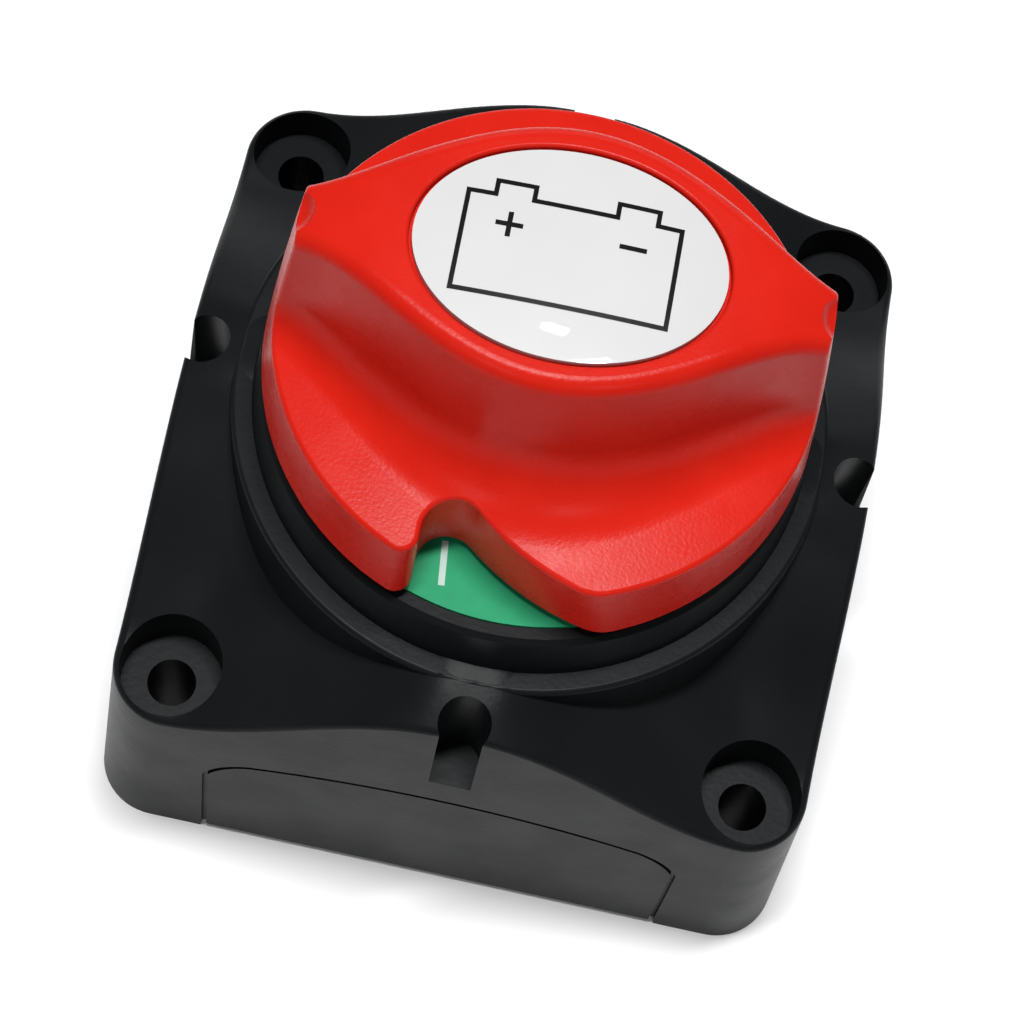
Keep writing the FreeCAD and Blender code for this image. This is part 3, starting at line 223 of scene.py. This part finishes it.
MATERIALS = {
    "housing_plastic": housing_plastic(),
    "base_plastic": plain_plastic("base_plastic", (0.035, 0.035, 0.037), 0.55),
    "rotor_plastic": plain_plastic("rotor_plastic", (0.48, 0.48, 0.45), 0.45),
    "black_rubber": rubber(),
    "zinc_steel": metal("zinc_steel", (0.62, 0.62, 0.60), 0.32),
    "stainless_steel": metal("stainless_steel", (0.56, 0.56, 0.55), 0.28, brush=(1, 1, 6)),
    "tinned_copper": metal("tinned_copper", (0.68, 0.66, 0.62), 0.30, brush=(1, 1, 8)),
    "silver_alloy": metal("silver_alloy", (0.85, 0.84, 0.81), 0.25),
    "bare_copper": metal("bare_copper", (0.80, 0.39, 0.25), 0.28, brush=(1, 6, 6)),
    "spring_steel": metal("spring_steel", (0.42, 0.42, 0.42), 0.25),
    "indicator_green": printed("indicator_green", (0.012, 0.30, 0.13), 0.45),
    "indicator_red": printed("indicator_red", (0.58, 0.02, 0.014), 0.30),
    "knob_plastic": knob_plastic(),
    "label_white": domed_label(),
    "white_ink": printed("white_ink", (0.45, 0.60, 0.54), 0.35),
    "black_ink": printed("black_ink", (0.008, 0.008, 0.009), 0.25),
}


def dress_cad_nodes():
    """Give every CAD node the material of its slot in the record."""
    for part in frame["record"]["subparts"]:
        node = frame["nodes"][part["node"]]
        node.data.materials.clear()
        node.data.materials.append(MATERIALS[part["material_slot"]])


# ---------------------------------------------------------------- printed marks

def mesh_piece(name, vertices, faces, material, body, slot):
    """New mesh object that rides a body and carries the given material."""
    mesh = bpy.data.meshes.new(name)
    mesh.from_pydata(vertices, [], faces)
    mesh.validate()
    piece = bpy.data.objects.new(name, mesh)
    bpy.context.scene.collection.objects.link(piece)
    mesh.materials.append(MATERIALS[material])
    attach(piece, body)


def top_of(node_name):
    """Function that gives the height of a node's upper surface at x, y."""
    node = frame["nodes"][node_name]
    corners = [node.matrix_world @ vertex.co for vertex in node.data.vertices]
    tree = BVHTree.FromPolygons(corners, [face.vertices for face in node.data.polygons])
    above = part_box(node_name)[1][2] + 1 * MM

    def height(x, y):
        return tree.ray_cast(Vector((x, y, above)), Vector((0, 0, -1)))[0].z
    return height


def edge_points(path, closed, width):
    """Left and right edge of a line of the given width along a path, mitred and finely divided."""
    count = len(path)
    edges = []
    for index, spot in enumerate(path):
        before = path[index - 1] if closed or index else None
        after = path[(index + 1) % count] if closed or index < count - 1 else None
        normals = []
        for start, end in ((before, spot), (spot, after)):
            if start is not None and end is not None:
                along = (end - start).normalized()
                normals.append(Vector((-along.y, along.x)))
        middle = sum(normals, Vector((0, 0))).normalized()
        reach = width / 2 / middle.dot(normals[0])
        edges.append((spot + middle * reach, spot - middle * reach))
    pairs = []
    spans = zip(edges, edges[1:] + edges[:1]) if closed else zip(edges, edges[1:])
    for (left, right), (next_left, next_right) in spans:
        cuts = max(1, round((next_left - left).length / PRINT_STEP))
        for cut in range(cuts):
            part = cut / cuts
            pairs.append((left.lerp(next_left, part), right.lerp(next_right, part)))
    if not closed:
        pairs.append(edges[-1])
    return pairs


def printed_line(path, closed, width, surface):
    """Vertices and faces of a thin closed solid strip that lies on a surface."""
    vertices, faces = [], []
    pairs = edge_points(path, closed, width)
    for left, right in pairs:
        for spot in (left, right):
            top = surface(spot.x, spot.y) + PRINT_HEIGHT
            vertices += [(spot.x, spot.y, top), (spot.x, spot.y, top - 2 * PRINT_HEIGHT)]
    stations = len(pairs)
    for index in range(stations if closed else stations - 1):
        a, b = 4 * index, 4 * ((index + 1) % stations)
        left_top, left_low, right_top, right_low = range(4)
        for first, second in ((right_top, left_top), (left_top, left_low),
                              (left_low, right_low), (right_low, right_top)):
            faces.append((a + first, b + first, b + second, a + second))
    if not closed:
        faces.append((0, 2, 3, 1))
        last = 4 * (stations - 1)
        faces.append((last, last + 1, last + 3, last + 2))
    return vertices, faces


def join(strips):
    """One set of vertices and faces from several."""
    vertices, faces = [], []
    for strip_vertices, strip_faces in strips:
        base = len(vertices)
        vertices += strip_vertices
        faces += [tuple(base + index for index in face) for face in strip_faces]
    return vertices, faces


def turned_by(degrees):
    """Function that turns a point given in mm about the knob's axis and gives metres."""
    angle = math.radians(degrees)
    c, s = math.cos(angle), math.sin(angle)

    def turn(x, y):
        return Vector((c * x - s * y, s * x + c * y)) * MM
    return turn


def battery_mark():
    """Battery symbol with plus and minus, printed on the domed label; sizes in mm."""
    spot = turned_by(KNOB_REST_TURN)
    dome = top_of("knob_label")
    left, right, low, high, post_top = -9.25, 8.65, -5.0, 4.0, 5.3
    posts = ((-7.0, -3.8), (3.2, 6.6))
    outline = [(left, low), (right, low), (right, high)]
    for start, end in reversed(posts):
        outline += [(end, high), (end, post_top), (start, post_top), (start, high)]
    outline.append((left, high))
    line_width, sign_width = 0.41, 0.43
    half_sign = sign_width / 2
    plus_x, sign_y, arm, minus_x = -5.45, 1.42, 1.15, 4.9
    bars = [[(plus_x - arm, sign_y), (plus_x + arm, sign_y)],
            [(plus_x, sign_y + half_sign), (plus_x, sign_y + arm)],
            [(plus_x, sign_y - arm), (plus_x, sign_y - half_sign)],
            [(minus_x - arm, sign_y), (minus_x + arm, sign_y)]]
    strips = [printed_line([spot(x, y) for x, y in outline], True, line_width * MM, dome)]
    for bar in bars:
        strips.append(printed_line([spot(x, y) for x, y in bar], False, sign_width * MM, dome))
    mesh_piece("battery_mark", *join(strips), "black_ink", KNOB_BODY, "label_white")


def index_line():
    """White line on the green half of the indicator label; sizes in mm."""
    start, end, width = (-5.12, -17.2), (-4.65, -21.35), 0.58
    path = [Vector(start) * MM, Vector(end) * MM]
    strip = printed_line(path, False, width * MM, top_of("indicator_on"))
    mesh_piece("index_line", *strip, "white_ink", HOUSING_BODY, "indicator_green")


# ---------------------------------------------------------------- stage, light and camera

def stage_floor():
    """Plain pale table that the back face stands on."""
    half = 3.0
    mesh = bpy.data.meshes.new("floor")
    corners = [(-half, -half, 0), (half, -half, 0), (half, half, 0), (-half, half, 0)]
    mesh.from_pydata(corners, [], [(0, 1, 2, 3)])
    floor = bpy.data.objects.new("floor", mesh)
    bpy.context.scene.collection.objects.link(floor)
    paint = Painter("floor_paint", (0.92, 0.92, 0.92), 0.8)
    paint.color(paint.blend(paint.noise(0.5), (0.91, 0.91, 0.91), (0.93, 0.93, 0.93)))
    mesh.materials.append(paint.material)


def soft_light(name, place, width, height, power):
    """Rectangular light that points at the middle of the switch."""
    lamp = bpy.data.lights.new(name, "AREA")
    lamp.shape = "RECTANGLE"
    lamp.size = width
    lamp.size_y = height
    lamp.energy = power
    made = bpy.data.objects.new(name, lamp)
    bpy.context.scene.collection.objects.link(made)
    made.location = place
    aim = Vector(LIGHT_TARGET) - Vector(place)
    made.rotation_euler = aim.to_track_quat("-Z", "Y").to_euler()


def light_scene():
    """Dim white world, and an overhead softbox with weaker lights for highlights and walls."""
    world = bpy.data.worlds.new("studio")
    bpy.context.scene.world = world
    world.use_nodes = True
    background = world.node_tree.nodes["Background"]
    background.inputs["Color"].default_value = (1.0, 1.0, 1.0, 1.0)
    background.inputs["Strength"].default_value = WORLD_STRENGTH
    for name, place, width, height, power in LIGHTS:
        soft_light(name, place, width, height, power)


def place_camera():
    """Camera above and in front of the switch, looking down at the knob."""
    scene = bpy.context.scene
    lens = bpy.data.cameras.new("camera")
    lens.sensor_width = CAMERA_SENSOR
    lens.lens = CAMERA_LENS
    camera = bpy.data.objects.new("camera", lens)
    scene.collection.objects.link(camera)
    camera.location = Vector(CAMERA_PLACE) * MM
    camera.rotation_euler = [math.radians(turn) for turn in CAMERA_TURNS]
    scene.camera = camera
    scene.view_settings.view_transform = "Standard"


dress_cad_nodes()
battery_mark()
index_line()
stage_floor()
light_scene()
place_camera()
